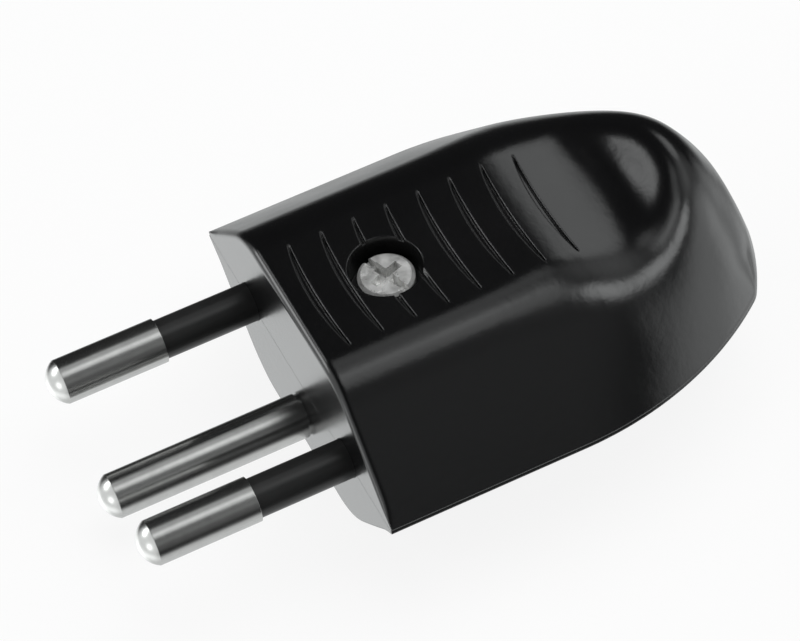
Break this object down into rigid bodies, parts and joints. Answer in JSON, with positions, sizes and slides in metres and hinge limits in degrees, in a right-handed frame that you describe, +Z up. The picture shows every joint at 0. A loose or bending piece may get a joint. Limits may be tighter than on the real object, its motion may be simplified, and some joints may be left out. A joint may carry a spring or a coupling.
{
  "type": "type j mains plug",
  "caption": "Black two-shell mains plug with straight round pins, insulated live pins, grip grooves, thumb saddle and a cord inlet.",
  "frame": {"origin": "centre of the front face, in the parting plane, on the line between the line and neutral pins", "axes": "+X across to the neutral pin, +Y from the pins to the cord end, +Z up to the side with the housing screw"},
  "size_m": [0.0362, 0.0597, 0.0196],
  "materials": {
    "shell_black": "glossy black moulded thermoset",
    "pin_nickel": "bright nickel plated brass, turned",
    "sleeve_black": "satin black insulating sleeve",
    "screw_zinc": "bright zinc plated steel",
    "insert_brass": "plain brass",
    "clamp_black": "black moulded clamp bar"
  },
  "bodies": {
    "root": {"lower_shell": "shell_black", "upper_shell": "shell_black", "line_pin": "pin_nickel", "neutral_pin": "pin_nickel", "earth_pin": "pin_nickel", "line_pin_sleeve": "sleeve_black", "neutral_pin_sleeve": "sleeve_black", "housing_screw": "screw_zinc", "line_terminal_screw": "screw_zinc", "neutral_terminal_screw": "screw_zinc", "earth_terminal_screw": "screw_zinc", "cord_clamp_screw_left": "screw_zinc", "cord_clamp_screw_right": "screw_zinc", "housing_insert": "insert_brass", "cord_clamp": "clamp_black"}
  },
  "joints": []
}
